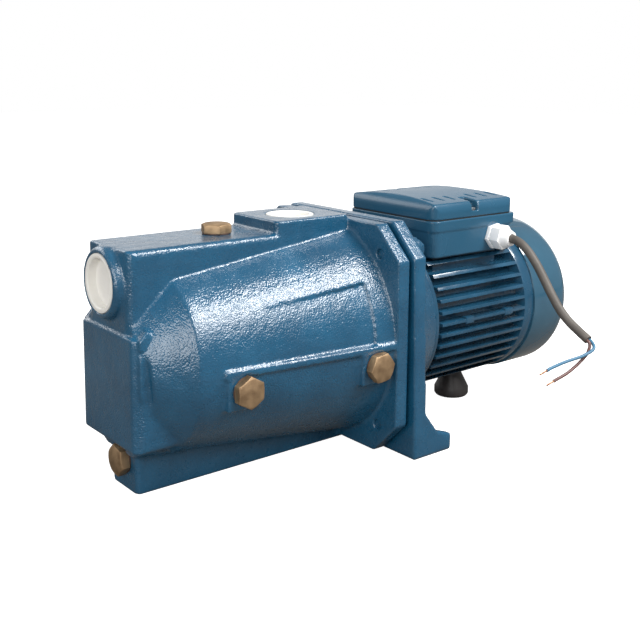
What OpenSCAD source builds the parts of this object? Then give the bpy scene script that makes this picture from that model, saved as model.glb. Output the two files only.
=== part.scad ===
// Shallow well jet pump with a close-coupled single-phase motor.
// Frame: +X along the shaft from the suction end to the fan, +Z up, millimetres.
// The origin is midway between the two foot bolts, on the surface the pump stands on.

/* [Pump body] */
// Height of the shaft line above the feet
shaft_h = 100; // [98:1:125]
// Length of the cast body from its flange face to the front plate
body_len = 221; // [200:1:270]
// Outer radius of the barrel where it meets the flange
barrel_r = 94; // [90:1:96]
// Outer radius of the barrel where the nose cone begins
nose_r = 74; // [68:1:84]
// Wall of the barrel
body_wall = 7.5; // [5:0.5:10]
// Half width of the suction and delivery gallery
gallery_half_w = 33.5; // [31:0.5:40]
// Height of the flat gallery top above the shaft line
gallery_rise = 91; // [86:1:112]
// Half width of the front plate
plate_half_w = 46; // [40:1:52]
// Half width of the base channel under the barrel
base_half_w = 21; // [18:1:26]
// Height of the base channel above the floor
base_h = 33; // [30:1:38]

/* [Ports] */
// Minor radius of the suction thread
suction_r = 19.48; // [15:0.01:22]
// Height of the suction port above the shaft line
suction_rise = 63.5; // [60:0.5:66]
// Minor radius of the delivery thread
delivery_r = 15.15; // [12:0.01:19.5]
// Distance of the delivery port from the body flange face
delivery_back = 50; // [44:1:60]
// Length of the port threads
port_thread_len = 16; // [12:0.5:17]
// Depth of the plain recess that holds a transport cap
cap_recess = 9; // [7:0.5:11]
// Width of the recess ledge outside each thread
cap_ledge = 3.1; // [2.5:0.1:4]

/* [Plugs] */
// Width across the flats of the plug heads
plug_flats = 22; // [19:1:24]
// Height of the plug heads
plug_head_h = 7; // [6:0.5:10]
// Minor radius of the plug threads
plug_r = 7.475; // [6.5:0.025:9]
// Threaded length of the plugs
plug_thread_len = 10; // [8:0.5:11]
// Thickness of the plug sealing washers
plug_washer_t = 1.2; // [1:0.1:2.5]

/* [Flanges and feet] */
// Half width of the octagonal body flange
flange_half = 97; // [96:0.5:112]
// Thickness of the body flange
body_flange_t = 12.5; // [10:0.5:16]
// Thickness of the bracket flange
bracket_flange_t = 13; // [11:0.5:16]
// Gap between the two flange rims
flange_gap = 4; // [3:0.5:6]
// Distance of the flange bolts from the shaft line, along Y and along Z
flange_bolt_offset = 73; // [72.5:0.5:80]
// Overall width across the feet
foot_span = 205; // [200:1:240]
// Distance between the foot bolt holes
foot_hole_spacing = 165; // [150:1:170]
// Radius of the foot bolt holes
foot_hole_r = 5.5; // [4.5:0.1:6.5]
// Length of a foot along the shaft, from the bracket face
foot_len = 44; // [40:1:60]
// Thickness of a foot
foot_t = 12; // [9:0.5:16]

/* [Motor] */
// Length of the motor casing
casing_len = 121; // [116:1:180]
// Inner radius of the motor casing
casing_r = 58; // [56:0.5:60]
// Wall of the motor casing
casing_wall = 4; // [3.5:0.5:6]
// Radius over the tips of the cooling fins
fin_tip_r = 73; // [70:0.5:78]
// Distance between neighbouring cooling fins
fin_pitch = 10.4; // [8:0.1:14]
// Thickness of a cooling fin
fin_t = 2.8; // [2:0.1:4]
// Radius of the shaft in the bearings
journal_r = 8.5; // [8:0.5:9]
// Outer radius of the bearings
bearing_r = 20; // [19:0.5:22]
// Width of a bearing
bearing_w = 12; // [10:1:14]
// Radius of the rotor core
rotor_r = 30; // [26:0.5:34]
// Length of the stator and rotor cores
core_len = 65; // [50:1:70]
// Air gap between rotor and stator
air_gap = 0.4; // [0.3:0.05:0.6]
// Length of the fan cover
fan_cover_len = 57.5; // [50:0.5:70]
// Sheet thickness of the fan cover
fan_cover_t = 1.5; // [1:0.1:2.5]
// Outer radius of the fan cover
fan_cover_r = 74.5; // [72:0.5:80]
// Radius over the fan blades
fan_r = 56; // [45:1:60]

/* [Hydraulics] */
// Radius of the impeller
impeller_r = 60; // [50:1:62]
// Width of the impeller
impeller_w = 14; // [12:1:16]
// Radius of the impeller eye
eye_r = 16; // [13:0.5:18]
// Radius of the nozzle mouth
nozzle_tip_r = 3.5; // [2.5:0.1:5]
// Radius of the venturi throat
throat_r = 6; // [5:0.1:7.5]

/* [Terminal box] */
// Length of the terminal box along the shaft
box_len = 107; // [104:1:120]
// Half width of the terminal box
box_half_w = 57.5; // [54:0.5:62]
// Height of the terminal box base
box_base_h = 33; // [30:0.5:40]
// Height of the terminal box cover
box_cover_h = 17.5; // [16:0.5:30]
// Radius of the upright corners of the box
box_corner_r = 9; // [6:0.5:12]
// Wall of the box and of its cover
box_wall = 3; // [2.5:0.1:4]

/* [Cable] */
// Outer diameter of the cable jacket
cable_d = 8; // [6:0.1:8.4]
// Outer diameter of one insulated core
core_d = 2.8; // [2:0.1:3.4]

/* [Hidden] */
$fn = 64;

// Clearances, radial unless said otherwise
run_gap = 0.05;      // screw thread in its hole, shaft in a ring
push_gap = 0.1;      // parts that push or slide together
free_gap = 0.5;      // parts that pass without touching
bolt_gap = 0.6;      // bolt shank in a clearance hole
eps = 0.05;          // overshoot of a cut past a face

// Stations along the shaft line
bracket_face_x = -foot_len / 2;
bracket_back_x = bracket_face_x + bracket_flange_t;
body_face_x = bracket_face_x - flange_gap;
body_flange_x = body_face_x - body_flange_t;
plate_x = body_face_x - body_len;
gallery_x = plate_x + 2.5;
base_x = plate_x + 13;
nose_x = plate_x + 38;
boss_face_x = plate_x - 5;
skirt_end_x = bracket_back_x + 37;
casing_end_x = skirt_end_x + casing_len;
cover_x = casing_end_x + 13;
cover_end_x = cover_x + fan_cover_len;

// Heights
suction_z = shaft_h + suction_rise;
gallery_z = shaft_h + gallery_rise;
delivery_z = gallery_z + 10;

// Chamber inside the barrel
chamber_x = plate_x + 53;
chamber_front_r = nose_r - body_wall - 1;
chamber_r = barrel_r - body_wall - 0.5;
spigot_bore_r = chamber_r + 1.5;
duct_z = gallery_z - 15;
duct_half_w = gallery_half_w - body_wall;

// Jet stations
nozzle_wall_x = plate_x + 15;
nozzle_wall_t = 6;
venturi_wall_x = nozzle_wall_x + 28;
nozzle_r = 11;
venturi_r = 12;
venturi_x = venturi_wall_x - 4;

// Impeller, diffuser and shaft seal stations
back_plate_x = bracket_face_x - 12;
seal_seat_t = 6;
impeller_back_x = back_plate_x - 9;
impeller_x = impeller_back_x - impeller_w;
diffuser_x = impeller_x - 12;
venturi_end_x = diffuser_x - 4;
pump_shaft_r = 7;
seal_r = 15;

// Motor stations
mid_shaft_r = 11;
motor_wall_x = skirt_end_x - 12;
motor_wall_t = 8;
front_bearing_x = motor_wall_x - 4;
rear_bearing_x = casing_end_x - 5;
core_x = skirt_end_x + 26;
stator_bore_r = rotor_r + air_gap;
winding_len = 21;
tie_r = 2.5;
tie_offset = (casing_r - tie_r - 1.05) / sqrt(2);    // rods pass just inside the casing
shield_lip = 10;
flange_bolt_r = 4;
bolt_boss_h = 9;
diffuser_screw_r = 2;
shield_r = fan_cover_r - fan_cover_t;
lip_r = shield_r - push_gap;
fan_x = cover_x + 8;
fan_len = 25;

// Terminal box stations
box_x = skirt_end_x + 11;
box_mid_x = box_x + box_len / 2;
seat_z = shaft_h + casing_r + casing_wall + 4;    // flat seat cast on the casing
box_z = seat_z - 9;                               // lower rim of the box
box_top_z = box_z + box_base_h;
box_floor_t = 3.5;
box_rim_h = 9.5;                                  // raised band round the top of the box
box_rim = 0.7;
box_lip = 4.5;                                    // the band stands out this far at the fan end
gasket_t = 1;
cover_screw_r = 1.75;
cover_z = box_top_z + gasket_t;
crown_r = 12;                                     // long upper edges of the cover
lid_arch_r = 400;                                 // slow arch of the cover across the shaft
gland_x = box_x + box_len - 28;
gland_z = box_z + 13.5;
gland_flats = 21;
gland_stub_r = 7.5;
gland_seal_r = 6;
cover_screw_y = box_half_w - 5;

// Plug places: along X, across Y, height
side_plug_z = shaft_h - 14;
filling_x = plate_x + 98;
front_side_x = plate_x + 73;
rear_side_x = body_face_x - 30.5;
drain_z = base_h - 9.5;
delivery_x = body_face_x - delivery_back;
front_side_y = -(barrel_r_at(front_side_x) + 1);
rear_side_y = -(barrel_r_at(rear_side_x) + 1);

// Cable route from the gland, hand-chosen points
jacket_route = [
    [118, -73.5, 170.5], [118, -77, 170.5], [118, -81, 170.5], [118, -86, 169.5], [118, -92, 167],
    [118, -98, 163], [118, -104, 157.5], [118, -110, 151], [118, -115.5, 144],
    [118, -120.5, 137], [118, -125.5, 130], [118, -131, 123], [118, -137, 116],
    [118, -143.5, 110], [118, -150.5, 105], [118, -157.5, 101], [118, -164, 97.5], [118, -168.5, 95]
];
blue_route = [
    [119.8, -168.5, 95], [119.8, -170.75, 93.75], [119.2, -173.2, 91.8], [116.5, -175.8, 89.6],
    [112.5, -176, 87.6], [108, -175, 86], [102, -174, 84.5], [95, -172.5, 83.5],
    [88, -171, 82.5], [81, -170, 81.5], [74, -169.5, 80.5], [68, -169, 79.5], [63, -169, 78.5]
];
brown_route = [
    [116.2, -168.5, 95], [116.2, -170.75, 93.75], [115.6, -172.1, 91.2], [113.9, -172.5, 88],
    [111.5, -172.8, 85], [108, -172.4, 82], [104, -171.8, 79.2], [99.5, -171.2, 76.4],
    [95, -170.5, 74], [90, -170, 71.8], [84, -169.5, 70], [78, -169, 68.6], [72.5, -169, 67.5]
];

// Outer radius of the barrel at a station
function barrel_r_at(x) = nose_r + (barrel_r - nose_r) * (x - nose_x) / (body_flange_x - nose_x);

// ---------- shared shapes ----------

module x_cyl(r, x0, x1, y = 0, z = shaft_h) {
    translate([x0, y, z]) rotate([0, 90, 0]) cylinder(r = r, h = x1 - x0);
}

module x_ring(r_out, r_in, x0, x1, y = 0, z = shaft_h) {
    difference() {
        x_cyl(r_out, x0, x1, y, z);
        x_cyl(r_in, x0 - 1, x1 + 1, y, z);
    }
}

// Turned shape about the shaft line; points are [station, radius]
module x_turned(points) {
    translate([0, 0, shaft_h]) rotate([0, 90, 0]) rotate_extrude()
        polygon([for (p = points) [p[1], p[0]]]);
}

// O-ring about the shaft line
module x_o_ring(x, ring_r, cord_r) {
    translate([x, 0, shaft_h]) rotate([0, 90, 0]) rotate_extrude()
        translate([ring_r, 0]) circle(r = cord_r, $fn = 24);
}

module box(x0, x1, y0, y1, z0, z1) {
    translate([x0, y0, z0]) cube([x1 - x0, y1 - y0, z1 - z0]);
}

module rounded_rect(w, h, r) {
    square([w - 2 * r, h], center = true);
    square([w, h - 2 * r], center = true);
    for (sx = [-1, 1], sy = [-1, 1])
        translate([sx * (w / 2 - r), sy * (h / 2 - r)]) circle(r = r, $fn = 32);
}

// Upright block with rounded corners, centred on (x, 0)
module rounded_block(x, w, h, r, z0, z1) {
    translate([x, 0, z0]) linear_extrude(z1 - z0) rounded_rect(w, h, r);
}

module hexagon_bar(flats, h) {
    cylinder(r = flats / sqrt(3), h = h, $fn = 6);
}

// Hexagon head with its corners turned off
module chamfered_head(flats, h) {
    intersection() {
        hexagon_bar(flats, h);
        union() {
            cylinder(r = flats, h = h - 1.4);
            translate([0, 0, h - 1.4 - eps])
                cylinder(r1 = flats / sqrt(3) + 0.6, r2 = flats / 2 - 0.8, h = 1.4 + eps);
        }
    }
}

// Cross-section that both flanges share, lying in the YZ plane
module flange_outline(half, corner) {
    polygon([
        [half - corner, half], [half, half - corner], [half, -half + corner], [half - corner, -half],
        [-half + corner, -half], [-half, -half + corner], [-half, half - corner], [-half + corner, half]
    ]);
}

// Extrudes a YZ outline along X
module along_x(x0, x1) {
    translate([x0, 0, 0]) rotate([90, 0, 90]) linear_extrude(x1 - x0) children();
}

module flange_corners() {
    for (sy = [-1, 1], sz = [-1, 1])
        translate([0, sy * flange_bolt_offset, shaft_h + sz * flange_bolt_offset]) children();
}

module tie_corners() {
    for (sy = [-1, 1], sz = [-1, 1])
        translate([0, sy * tie_offset, shaft_h + sz * tie_offset]) children();
}

// Round tube swept along a list of points, with closed ends
function unit(v) = v / norm(v);
function route_dir(p, i) =
    i == 0 ? unit(p[1] - p[0]) :
    i == len(p) - 1 ? unit(p[i] - p[i - 1]) :
    unit(unit(p[i + 1] - p[i]) + unit(p[i] - p[i - 1]));
function route_side(p, i, up) = unit(cross(up, route_dir(p, i)));
module swept_tube(p, r, sides, up) {
    n = len(p);
    rings = [for (i = [0:n - 1]) let (d = route_dir(p, i), s = route_side(p, i, up), t = cross(d, s))
        for (k = [0:sides - 1]) p[i] + r * (cos(360 * k / sides) * s + sin(360 * k / sides) * t)];
    walls = [for (i = [0:n - 2], k = [0:sides - 1], half = [0, 1]) let (k2 = (k + 1) % sides)
        half == 0 ? [i * sides + k, (i + 1) * sides + k, (i + 1) * sides + k2]
                  : [i * sides + k, (i + 1) * sides + k2, i * sides + k2]];
    first = [for (k = [0:sides - 1]) k];
    last = [for (k = [0:sides - 1]) n * sides - 1 - k];
    polyhedron(points = rings, faces = concat(walls, [first], [last]));
}

// ---------- pump end ----------

// Outside of the barrel, grown by a given amount
module barrel_outside(grow = 0) {
    x_turned([
        [plate_x + 4, 0], [plate_x + 4, nose_r - 27 + grow], [nose_x, nose_r + grow],
        [body_flange_x + eps, barrel_r + grow], [body_flange_x + eps, 0]
    ]);
}

// Gallery along the top: rounded top edges and rounded front corners
module gallery() {
    intersection() {
        along_x(gallery_x, body_face_x - 1)
            translate([0, (shaft_h + gallery_z) / 2])
                rounded_rect(2 * gallery_half_w, gallery_z - shaft_h, 5);
        rounded_block((gallery_x + body_face_x) / 2 + 10, body_face_x - gallery_x + 20,
            2 * gallery_half_w, 7, shaft_h, gallery_z);
    }
}

// Lower front plate that carries the nozzle seat, with chamfered upright edges
module front_plate() {
    plate_bottom = base_h + 8;
    intersection() {
        along_x(plate_x, plate_x + 34) polygon([
            [-plate_half_w, shaft_h + 28], [-plate_half_w, plate_bottom + 3],
            [-plate_half_w + 3, plate_bottom], [plate_half_w - 3, plate_bottom],
            [plate_half_w, plate_bottom + 3], [plate_half_w, shaft_h + 28]
        ]);
        translate([0, 0, plate_bottom - 1]) linear_extrude(shaft_h + 30 - plate_bottom) polygon([
            [plate_x, -plate_half_w + 6.5], [plate_x + 8, -plate_half_w], [plate_x + 35, -plate_half_w],
            [plate_x + 35, plate_half_w], [plate_x + 8, plate_half_w], [plate_x, plate_half_w - 6.5]
        ]);
    }
    // pointed ear on each side where the ledge runs out against the nose cone
    for (side = [-1, 1]) translate([0, side > 0 ? plate_half_w : -plate_half_w + 9, 0]) rotate([90, 0, 0])
        linear_extrude(9) polygon([
            [plate_x + 4, shaft_h + 20], [plate_x + 4, shaft_h + 27], [plate_x + 11, shaft_h + 35],
            [plate_x + 16, shaft_h + 27], [plate_x + 16, shaft_h + 20]
        ]);
    // neck down to the base block, and a sloping web on each side behind it
    along_x(plate_x + 9, plate_x + 34) polygon([
        [-base_half_w - 1, base_h - 1], [base_half_w + 1, base_h - 1],
        [base_half_w + 1, plate_bottom + 1], [-base_half_w - 1, plate_bottom + 1]
    ]);
    for (side = [-1, 1]) hull() {
        along_x(plate_x + 9, plate_x + 10) polygon([
            [0, base_h - 2], [side * base_half_w, base_h - 2],
            [side * (plate_half_w - 2), plate_bottom + 1], [side * (plate_half_w - 2), plate_bottom + 19],
            [0, plate_bottom + 19]
        ]);
        along_x(plate_x + 54, plate_x + 55) polygon([
            [0, base_h - 8], [side * base_half_w, base_h - 8], [side * base_half_w, base_h], [0, base_h]
        ]);
    }
}

// Water channel block under the barrel that also steadies the front on the floor
module base_block() {
    rounded_block((base_x + body_face_x) / 2, body_face_x - base_x, 2 * base_half_w, 4, 0, base_h);
}

module suction_boss() {
    boss_r = suction_r + cap_ledge + 5;
    x_cyl(boss_r, boss_face_x + 3, gallery_x + 2, 0, suction_z);
    translate([boss_face_x, 0, suction_z]) rotate([0, 90, 0])
        cylinder(r1 = boss_r - 2.5, r2 = boss_r, h = 3 + eps);
}

module delivery_boss() {
    boss_x0 = delivery_x - 37;
    boss_x1 = body_flange_x + 1;
    rounded_block((boss_x0 + boss_x1) / 2, boss_x1 - boss_x0, 2 * gallery_half_w - 1, 5,
        gallery_z - 8, delivery_z);
}

// Horizontal rib along each flank with the pads for the side plugs under it
module side_rib(side) {
    intersection() {
        barrel_outside(2.5);
        box(front_side_x - 17, rear_side_x + 17, side > 0 ? 0 : -flange_half, side > 0 ? flange_half : 0,
            shaft_h - 3, shaft_h + 3);
    }
}

module side_pad(x, y) {
    box(x - 15, x + 15, y, y + 20, side_plug_z - 15, shaft_h - 2);
}

// Shallow panel let into the upper flank, deepest beside the flange
module flank_panel(side) {
    panel_x0 = nose_x + 45;
    panel_x1 = body_flange_x - 18;
    panel_depth = 3;
    difference() {
        translate([0, side > 0 ? flange_half : 0, 0]) rotate([90, 0, 0]) linear_extrude(flange_half)
            polygon([
                [panel_x0, shaft_h + 3], [panel_x1, shaft_h + 3],
                [panel_x1, shaft_h + 51.5], [panel_x0, shaft_h + 42]
            ]);
        x_turned([
            [panel_x0 - 1, 0], [panel_x0 - 1, barrel_r_at(panel_x0 - 1)],
            [panel_x1 + 1, barrel_r_at(panel_x1 + 1) - panel_depth], [panel_x1 + 1, 0]
        ]);
    }
}

// Part of the nose cone left out beside the front plate
module nose_step(side) {
    translate([0, side > 0 ? plate_half_w + 40 : -plate_half_w, 0]) rotate([90, 0, 0])
        linear_extrude(40) polygon([
            [plate_x - 5, shaft_h + 45], [plate_x + 6, shaft_h + 45], [plate_x + 15, shaft_h - 48],
            [plate_x - 5, shaft_h - 48]
        ]);
}

module pump_body_outside() {
    difference() {
        barrel_outside();
        for (side = [-1, 1]) flank_panel(side);
        for (side = [-1, 1]) nose_step(side);
    }
    along_x(body_flange_x, body_face_x)
        translate([0, shaft_h]) flange_outline(flange_half, 28);
    gallery();
    front_plate();
    base_block();
    suction_boss();
    delivery_boss();
    for (side = [-1, 1]) side_rib(side);
    side_pad(front_side_x, front_side_y);
    side_pad(rear_side_x, rear_side_y);
}

module pump_body_hollows() {
    // barrel chamber, open at the flange
    x_turned([
        [chamber_x, 0], [chamber_x, chamber_front_r], [body_flange_x, chamber_r],
        [body_face_x + eps, chamber_r], [body_face_x + eps, 0]
    ]);
    // delivery duct under the gallery top
    box(chamber_x + 4, body_flange_x - 8, -duct_half_w, duct_half_w, shaft_h + 50, duct_z);
    // suction duct behind the suction port and down to the jet
    duct_x = boss_face_x + cap_recess + port_thread_len + 1;
    box(duct_x - 1, chamber_x - 4, -duct_half_w, duct_half_w, suction_z - 20, suction_z + 17);
    box(nozzle_wall_x + nozzle_wall_t, venturi_wall_x, -20, 20, shaft_h - 16, suction_z - 18);
    // pressure chamber in front of the nozzle and its feed from the base channel
    box(plate_x + 6, nozzle_wall_x, -28, 28, 48, shaft_h + 22);
    box(plate_x + 6, plate_x + 35, -13, 13, 44, 60);
    box(base_x + 12, plate_x + 35, -13, 13, 9, 60);
    box(base_x + 12, body_flange_x - 45, -13, 13, 9, base_h - 6);
    // nozzle thread and venturi seat
    x_cyl(nozzle_r + push_gap, nozzle_wall_x - 1, nozzle_wall_x + nozzle_wall_t + 1);
    x_cyl(venturi_r + push_gap, venturi_wall_x - 1, chamber_x + 1);
}

module pump_body_holes() {
    // suction port
    x_cyl(suction_r + cap_ledge, boss_face_x - 1, boss_face_x + cap_recess, 0, suction_z);
    x_cyl(suction_r, boss_face_x - 1, boss_face_x + cap_recess + port_thread_len + 1, 0, suction_z);
    // delivery port
    translate([delivery_x, 0, delivery_z - cap_recess])
        cylinder(r = delivery_r + cap_ledge + 2, h = cap_recess + 1);
    translate([delivery_x, 0, duct_z - 1]) cylinder(r = delivery_r, h = delivery_z - duct_z + 2);
    // plug threads
    translate([filling_x, 0, duct_z - 1]) cylinder(r = plug_r, h = 30);
    translate([front_side_x, front_side_y - 1, side_plug_z]) rotate([-90, 0, 0])
        cylinder(r = plug_r, h = 20);
    translate([rear_side_x, rear_side_y - 1, side_plug_z]) rotate([-90, 0, 0])
        cylinder(r = plug_r, h = 20);
    x_cyl(plug_r, base_x - 1, base_x + 13, 0, drain_z);
    x_cyl(plug_flats / 2 + 2, base_x - 20, base_x, 0, drain_z);
    // spot faces round the side plugs
    translate([front_side_x, front_side_y, side_plug_z]) rotate([90, 0, 0])
        cylinder(r = plug_flats / 2 + 2, h = 20);
    translate([rear_side_x, rear_side_y, side_plug_z]) rotate([90, 0, 0])
        cylinder(r = plug_flats / 2 + 2, h = 20);
    // tapped holes for the flange bolts
    flange_corners() rotate([0, 90, 0]) translate([0, 0, body_flange_x - 1])
        cylinder(r = flange_bolt_r, h = body_flange_t + 2, $fn = 32);
    // locating bore for the bracket spigot
    x_cyl(spigot_bore_r, back_plate_x - free_gap, body_face_x + 1);
}
module pump_body() {
    color("#2f5f85") difference() {
        pump_body_outside();
        pump_body_hollows();
        pump_body_holes();
    }
}

// Push-in transport cap: a shallow cup, mouth outwards, modelled mouth up at the origin
module transport_cap(r) {
    difference() {
        cylinder(r = r, h = cap_recess);
        translate([0, 0, 1.5]) cylinder(r = r - 4, h = cap_recess);
        translate([0, 0, cap_recess - 1]) cylinder(r1 = r - 4, r2 = r - 2.8, h = 1 + eps);
    }
}

module suction_cap() {
    color("#d0cfc9") translate([boss_face_x + cap_recess, 0, suction_z]) rotate([0, -90, 0])
        transport_cap(suction_r + cap_ledge - push_gap);
}

module delivery_cap() {
    color("#d0cfc9") translate([delivery_x, 0, delivery_z - cap_recess])
        transport_cap(delivery_r + cap_ledge + 2 - push_gap);
}

// Hexagon plug, thread down, washer seat at z = 0
module hex_plug() {
    translate([0, 0, plug_washer_t]) chamfered_head(plug_flats, plug_head_h);
    translate([0, 0, -plug_thread_len])
        cylinder(r = plug_r - run_gap, h = plug_thread_len + plug_washer_t + eps);
}

module plug_washer() {
    difference() {
        cylinder(r = plug_flats / 2 + 0.5, h = plug_washer_t);
        translate([0, 0, -1]) cylinder(r = plug_r + run_gap, h = plug_washer_t + 2);
    }
}

module at_filling() {
    translate([filling_x, 0, gallery_z]) children();
}

module at_drain() {
    translate([base_x, 0, drain_z]) rotate([0, -90, 0]) rotate([0, 0, 15]) children();
}

module at_side(x, y, turn) {
    translate([x, y, side_plug_z]) rotate([90, 0, 0]) rotate([0, 0, turn]) children();
}

module filling_plug() { color("#b39a72") at_filling() rotate([0, 0, 10]) hex_plug(); }
module filling_plug_washer() { color("#3a3a3a") at_filling() plug_washer(); }
module drain_plug() { color("#b39a72") at_drain() hex_plug(); }
module drain_plug_washer() { color("#3a3a3a") at_drain() plug_washer(); }
module front_side_plug() { color("#b39a72") at_side(front_side_x, front_side_y, 30) hex_plug(); }
module front_side_washer() { color("#3a3a3a") at_side(front_side_x, front_side_y, 30) plug_washer(); }
module rear_side_plug() { color("#b39a72") at_side(rear_side_x, rear_side_y, 6) hex_plug(); }
module rear_side_washer() { color("#3a3a3a") at_side(rear_side_x, rear_side_y, 6) plug_washer(); }

// ---------- jet and hydraulics ----------

// Nozzle screwed into its wall, blowing towards the venturi
module nozzle() {
    tip_x = nozzle_wall_x + nozzle_wall_t + 14;
    color("#b8a06a") x_turned([
        [nozzle_wall_x - 4.6, 8], [nozzle_wall_x - 4.6, nozzle_r + 3],
        [nozzle_wall_x - 1.6, nozzle_r + 3], [nozzle_wall_x - 1.6, nozzle_r],
        [nozzle_wall_x + nozzle_wall_t, nozzle_r],
        [nozzle_wall_x + nozzle_wall_t + 2, nozzle_r - 1.5], [tip_x, nozzle_tip_r + 1.5],
        [tip_x, nozzle_tip_r], [nozzle_wall_x + nozzle_wall_t, 7]
    ]);
}

module nozzle_o_ring() {
    color("#222222") x_o_ring(nozzle_wall_x - 0.8, nozzle_r + 0.9, 0.8);
}

// Venturi tube: bell mouth, throat, then a long diffusing cone to the impeller eye
module venturi() {
    throat_x = venturi_x + 14;
    color("#2b2b2b") difference() {
        x_turned([
            [venturi_x, 10.5], [venturi_x, venturi_r - 0.4], [venturi_x + 1, venturi_r],
            [chamber_x, venturi_r], [chamber_x, venturi_r + 2], [venturi_end_x, eye_r + 3],
            [venturi_end_x + 8, eye_r + 3], [venturi_end_x + 8, eye_r], [venturi_end_x, eye_r - 1.5],
            [throat_x + 12, throat_r], [throat_x, throat_r]
        ]);
        x_turned([
            [venturi_wall_x + 4, venturi_r + 1], [venturi_wall_x + 4, venturi_r - 1.6],
            [venturi_wall_x + 7, venturi_r - 1.6], [venturi_wall_x + 7, venturi_r + 1]
        ]);
    }
}

module venturi_o_ring() {
    color("#1e1e1e") x_o_ring(venturi_wall_x + 5.5, venturi_r - 0.8, 0.8);
}

// Diffuser: front wall with the venturi socket, guide vanes and a rim on the bracket
module diffuser() {
    rim_r = chamber_r - 10;
    vane_r = impeller_r + 2;
    hub_r = eye_r + 3 + push_gap;
    disc_t = 7;
    guide_t = 3;
    color("#3a3a3a") difference() {
        union() {
            x_ring(rim_r, hub_r, diffuser_x, diffuser_x + disc_t - 3);
            x_ring(vane_r, hub_r, diffuser_x, diffuser_x + disc_t);
            x_ring(vane_r, vane_r - 1.5, diffuser_x + disc_t - 1, back_plate_x);
            for (a = [0:40:320])
                translate([0, 0, shaft_h]) rotate([a, 0, 0])
                    box(diffuser_x + 1, back_plate_x - free_gap, vane_r - 1, rim_r - 1,
                        -guide_t / 2, guide_t / 2);
            for (a = [60:120:300]) diffuser_screw_at(a)
                translate([0, 0, 2]) cylinder(r = 4.5, h = back_plate_x - diffuser_x - 1, $fn = 24);
        }
        for (a = [20:40:340])
            translate([0, 0, shaft_h]) rotate([a, 0, 0])
                box(impeller_x + 3, impeller_back_x - 3, vane_r - 5, vane_r + 1.5, -9, 9);
        for (a = [60:120:300]) diffuser_screw_at(a) cylinder(r = diffuser_screw_r + 0.3, h = 60, $fn = 24);
    }
}

module diffuser_screw_at(a) {
    screw_r = impeller_r + 8.5;
    translate([diffuser_x - 1, screw_r * cos(a), shaft_h + screw_r * sin(a)]) rotate([0, 90, 0]) children();
}

module diffuser_screws() {
    color("#8d8d8d") for (a = [60:120:300]) diffuser_screw_at(a) {
        translate([0, 0, -2]) cylinder(r = 3.6, h = 3, $fn = 24);
        cylinder(r = diffuser_screw_r - run_gap, h = back_plate_x - diffuser_x + 8, $fn = 24);
    }
}

// Closed impeller with six swept vanes
module impeller() {
    shroud_t = 2.5;
    color("#a8905c") difference() {
        union() {
            x_ring(impeller_r, pump_shaft_r + run_gap, impeller_back_x - shroud_t, impeller_back_x);
            x_ring(impeller_r, eye_r - 0.5, impeller_x + 2, impeller_x + 2 + shroud_t);
            x_ring(eye_r + 2, eye_r - 0.5, impeller_x, impeller_x + 3);
            x_ring(11.5, pump_shaft_r + run_gap, impeller_x + 4, impeller_back_x);
            for (a = [0:60:300]) impeller_vane(a);
        }
        key_slot(push_gap);
    }
}

module impeller_vane(a) {
    vane_len = 34;
    translate([0, 0, shaft_h]) rotate([a, 0, 0]) intersection() {
        translate([impeller_x + 3, eye_r + 2, -12]) rotate([0, 90, 0]) linear_extrude(impeller_w - 4)
            difference() {
                translate([-12, 20]) circle(r = vane_len);
                translate([-12, 20]) circle(r = vane_len - 2.2);
                translate([-90, -60]) square([80, 160]);
            }
        translate([impeller_x, 0, 0]) rotate([0, 90, 0]) difference() {
            cylinder(r = impeller_r - 0.5, h = impeller_w);
            translate([0, 0, -1]) cylinder(r = eye_r + 0.5, h = impeller_w + 2);
        }
    }
}

module key_slot(gap) {
    box(impeller_x + 3 - gap, impeller_back_x + eps, -2 - gap, 2 + gap,
        shaft_h + pump_shaft_r - 2, shaft_h + pump_shaft_r + 2 + gap);
}

module impeller_key() {
    color("#8c8c88") box(impeller_x + 5, impeller_back_x - 1, -2, 2,
        shaft_h + pump_shaft_r - 2, shaft_h + pump_shaft_r + 2);
}

module impeller_nut() {
    color("#c2a15c") translate([impeller_x + 4, 0, shaft_h]) rotate([0, -90, 0]) difference() {
        chamfered_head(19, 9);
        translate([0, 0, -1]) cylinder(r = pump_shaft_r - 1, h = 9.3);
    }
}

// ---------- shaft seal ----------

module seal_rotary_ring() {
    color("#55585c") x_ring(seal_r - 1, pump_shaft_r + 1.6, back_plate_x - 3.5, back_plate_x - run_gap);
}

// Spring between the impeller hub and the rotary ring
module seal_spring() {
    turns = 2;
    steps = 20;
    wire_r = 0.7;
    coil_r = pump_shaft_r + 4.2;
    x0 = impeller_back_x + wire_r + 0.1;
    x1 = back_plate_x - 3.5 - wire_r - 0.1;
    color("#b9bcc0") swept_tube([for (i = [0:turns * steps]) let (a = 360 * i / steps)
        [x0 + (x1 - x0) * i / (turns * steps), coil_r * cos(a), shaft_h + coil_r * sin(a)]],
        wire_r, 8, [1, 0, 0]);
}

module seal_seat() {
    color("#e6e2d8") x_ring(seal_r - 2, pump_shaft_r + 2, back_plate_x, back_plate_x + seal_seat_t);
}

module seal_seat_cup() {
    color("#242424") x_ring(seal_r, seal_r - 2, back_plate_x, back_plate_x + seal_seat_t);
}

// ---------- bracket ----------

module foot_holes(r) {
    for (side = [-1, 1])
        translate([0, side * foot_hole_spacing / 2, -1]) cylinder(r = r, h = foot_t + 2);
}

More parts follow.
